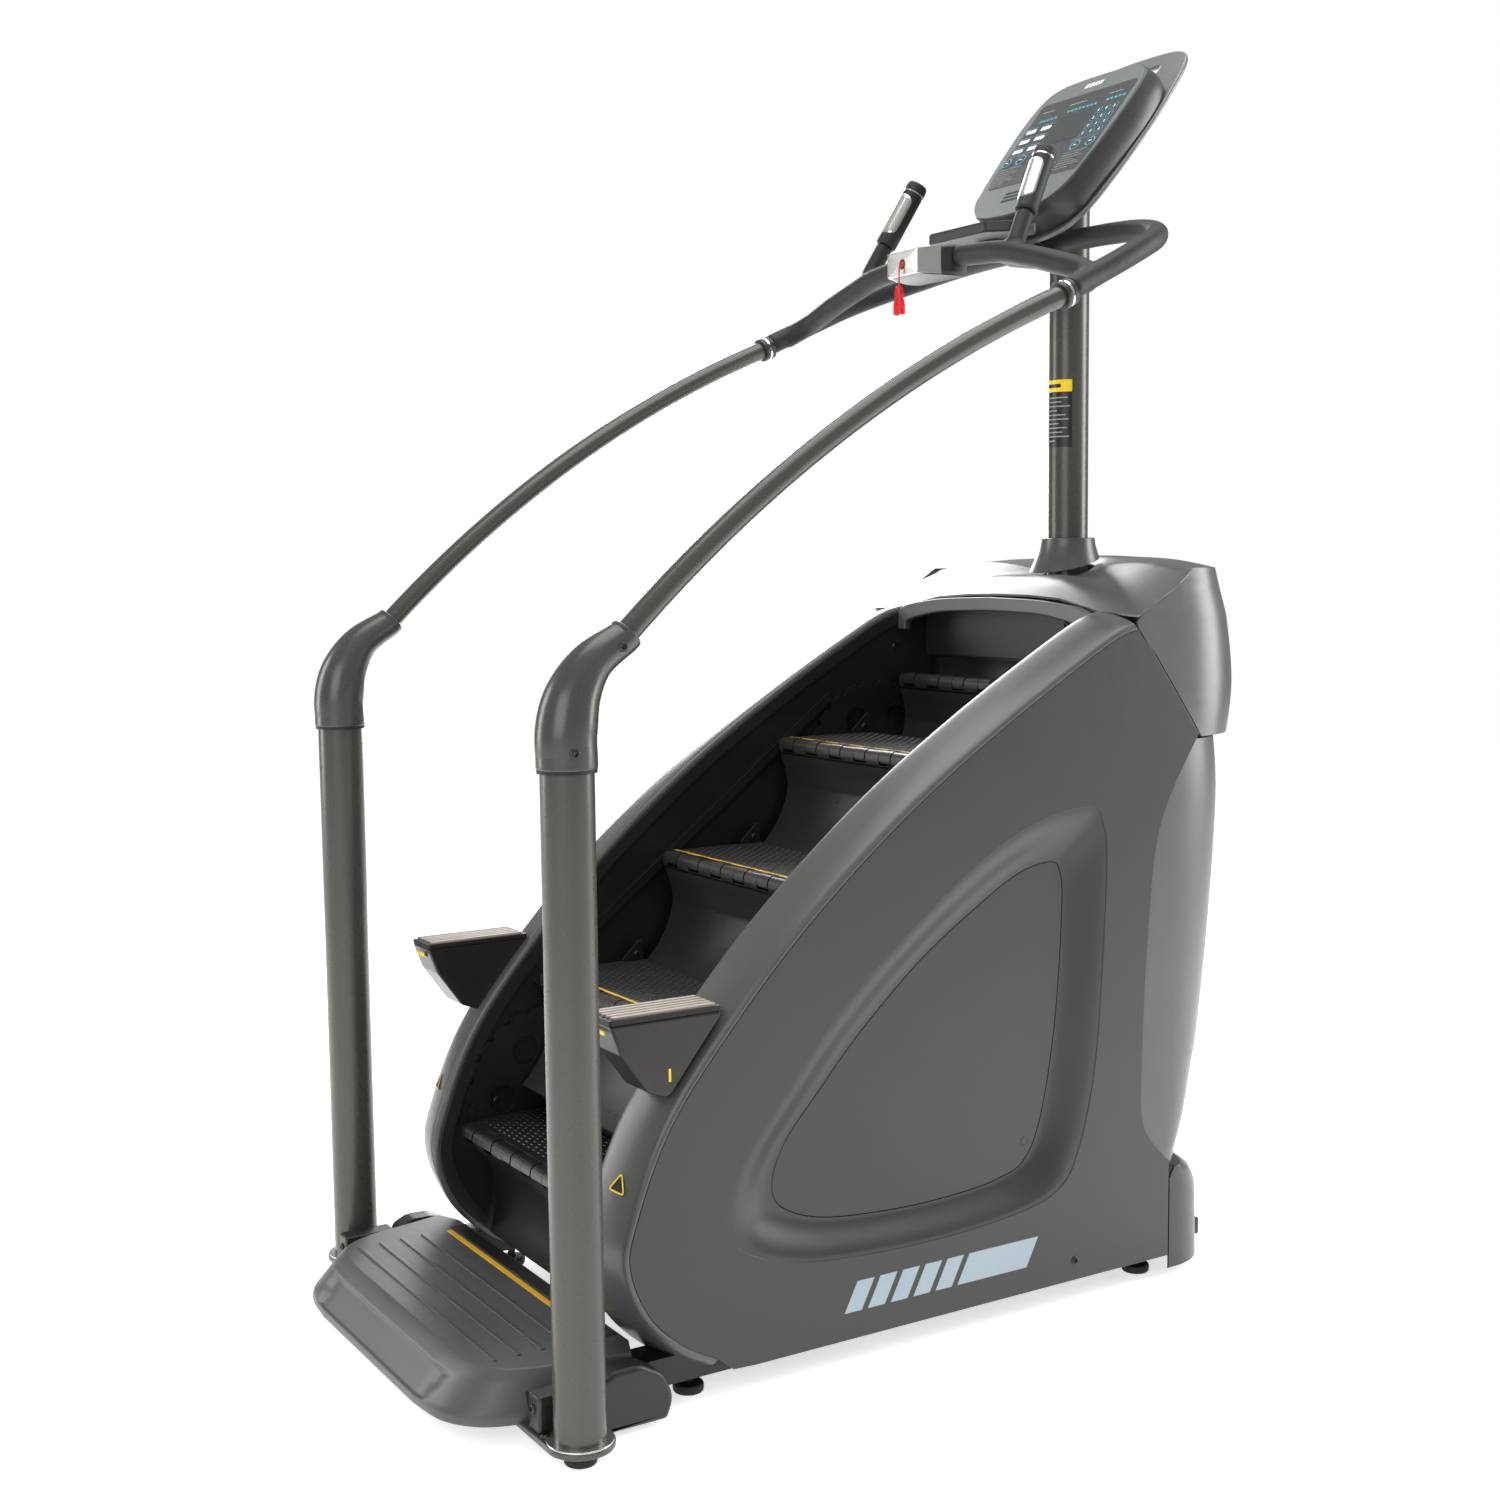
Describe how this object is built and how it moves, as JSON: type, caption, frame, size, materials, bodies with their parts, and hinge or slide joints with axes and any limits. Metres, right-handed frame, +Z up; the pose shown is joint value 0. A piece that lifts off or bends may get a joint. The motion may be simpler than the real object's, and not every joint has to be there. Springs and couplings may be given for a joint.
{
  "type": "stair climber",
  "caption": "Gym stair climber with a revolving staircase between side pods, front posts, arched handrails, a looped handlebar and a console on a rear column.",
  "frame": {"origin": "on the floor under the middle of the machine's outline", "axes": "+Z up, +Y the way the climber faces, +X to the climber's right"},
  "size_m": [1.026, 1.6768, 2.2738],
  "materials": {
    "frame_paint": "satin",
    "rubber": "matte",
    "wheel": "satin",
    "platform_plastic": "satin",
    "tube_paint": "satin metallic",
    "bar_rubber": "soft matte",
    "steel": "brushed",
    "black_plastic": "satin",
    "red_plastic": "translucent",
    "side_plastic": "satin",
    "hood_plastic": "satin",
    "face_plastic": "satin film",
    "key_film": "satin film",
    "drive_steel": "oiled",
    "cast": "painted",
    "pad_rubber": "ribbed"
  },
  "bodies": {
    "machine": {"base_frame": "frame_paint", "levelling_feet": "rubber", "platform_cover": "platform_plastic", "ankle_covers": "black_plastic", "posts": "tube_paint", "elbow_brackets": "tube_paint", "handrails": "tube_paint", "rail_collars": "tube_paint", "handlebar": "bar_rubber", "grip_sleeves": "bar_rubber", "pulse_plates": "steel", "stop_box": "black_plastic", "key_cord": "red_plastic", "key_clip": "red_plastic", "column": "tube_paint", "column_boot": "hood_plastic", "console_back": "hood_plastic", "console_housing": "black_plastic", "console_face": "face_plastic", "accessory_tray": "black_plastic", "side_panel_left": "side_plastic", "side_panel_right": "side_plastic", "recess_trays": "side_plastic", "access_panels": "side_plastic", "rim_left": "hood_plastic", "rim_right": "hood_plastic", "inner_walls": "black_plastic", "hood": "hood_plastic", "hood_lip": "hood_plastic", "rear_cover": "side_plastic", "base_cover": "side_plastic", "side_steps": "side_plastic", "side_step_pads": "pad_rubber", "shaft_bearings": "drive_steel", "drive_motor": "cast", "drive_belt": "rubber", "bolts": "drive_steel"},
    "lower_drive": {"drive_shaft": "drive_steel", "drive_sprockets": "drive_steel", "lower_tread": "black_plastic"},
    "bottom_riser": {"lower_riser": "black_plastic"},
    "upper_idlers": {"idler_sprockets": "drive_steel", "upper_treads": "black_plastic", "riser_5": "black_plastic"},
    "top_riser": {"riser_4": "black_plastic"},
    "step_1": {"tread_1": "black_plastic", "riser_1": "black_plastic"},
    "step_2": {"tread_2": "black_plastic", "riser_2": "black_plastic", "front_chains": "drive_steel"},
    "step_3": {"tread_3": "black_plastic", "riser_3": "black_plastic"},
    "return_run": {"return_treads": "black_plastic", "return_risers": "black_plastic", "return_chains": "drive_steel"},
    "motor_rotor": {"motor_pulley": "drive_steel"},
    "left_wheel": {"wheel_left": "wheel"},
    "right_wheel": {"wheel_right": "wheel"},
    "start_key": {"key_start": "key_film"},
    "stop_key": {"key_stop": "key_film"}
  },
  "joints": [
    {"name": "stair_drive", "type": "hinge", "parent": "machine", "child": "lower_drive", "pos_m": [0, -0.36446, 0.33305], "axis": [1, 0, 0], "range_deg": [0, 30]},
    {"name": "upper_idler_turn", "type": "hinge", "parent": "machine", "child": "upper_idlers", "pos_m": [0, 0.3785, 0.90109], "axis": [1, 0, 0], "range_deg": [0, 30]},
    {"name": "top_riser_swing", "type": "hinge", "parent": "upper_idlers", "child": "top_riser", "pos_m": [0, 0.44252, 1.06395], "axis": [1, 0, 0], "range_deg": [-20.1, 0]},
    {"name": "bottom_riser_swing", "type": "hinge", "parent": "lower_drive", "child": "bottom_riser", "pos_m": [0, -0.53387, 0.28919], "axis": [1, 0, 0], "range_deg": [-30.1, 0]},
    {"name": "step_1_run", "type": "slide", "parent": "machine", "child": "step_1", "axis": [0, -0.7944, -0.6074], "range_m": [0, 0.09183]},
    {"name": "step_2_run", "type": "slide", "parent": "machine", "child": "step_2", "axis": [0, -0.7944, -0.6074], "range_m": [0, 0.09183]},
    {"name": "step_3_run", "type": "slide", "parent": "machine", "child": "step_3", "axis": [0, -0.7944, -0.6074], "range_m": [0, 0.09183]},
    {"name": "return_run_slide", "type": "slide", "parent": "machine", "child": "return_run", "axis": [0, 0.7944, 0.6074], "range_m": [0, 0.09183]},
    {"name": "motor_turn", "type": "hinge", "parent": "machine", "child": "motor_rotor", "pos_m": [0, 0.34155, 0.23], "axis": [1, 0, 0], "range_deg": [0, 120.1]},
    {"name": "left_wheel_spin", "type": "hinge", "parent": "machine", "child": "left_wheel", "pos_m": [-0.0003, 0.65155, 0.06], "axis": [1, 0, 0], "continuous": true},
    {"name": "right_wheel_spin", "type": "hinge", "parent": "machine", "child": "right_wheel", "pos_m": [0.0003, 0.65155, 0.06], "axis": [1, 0, 0], "continuous": true},
    {"name": "start_key_press", "type": "slide", "parent": "machine", "child": "start_key", "axis": [0, 0.766, -0.6428], "range_m": [0, 0.001], "stiffness_N_per_m": 800},
    {"name": "stop_key_press", "type": "slide", "parent": "machine", "child": "stop_key", "axis": [0, 0.766, -0.6428], "range_m": [0, 0.001], "stiffness_N_per_m": 800}
  ],
  "couplings": [
    {"joint": "upper_idler_turn", "follows": "stair_drive", "ratio": 1},
    {"joint": "top_riser_swing", "follows": "stair_drive", "ratio": -0.667},
    {"joint": "bottom_riser_swing", "follows": "stair_drive", "ratio": -1},
    {"joint": "step_1_run", "follows": "stair_drive", "m_per_rad": 0.175},
    {"joint": "step_2_run", "follows": "stair_drive", "m_per_rad": 0.175},
    {"joint": "step_3_run", "follows": "stair_drive", "m_per_rad": 0.175},
    {"joint": "return_run_slide", "follows": "stair_drive", "m_per_rad": 0.175},
    {"joint": "motor_turn", "follows": "stair_drive", "ratio": 4}
  ]
}
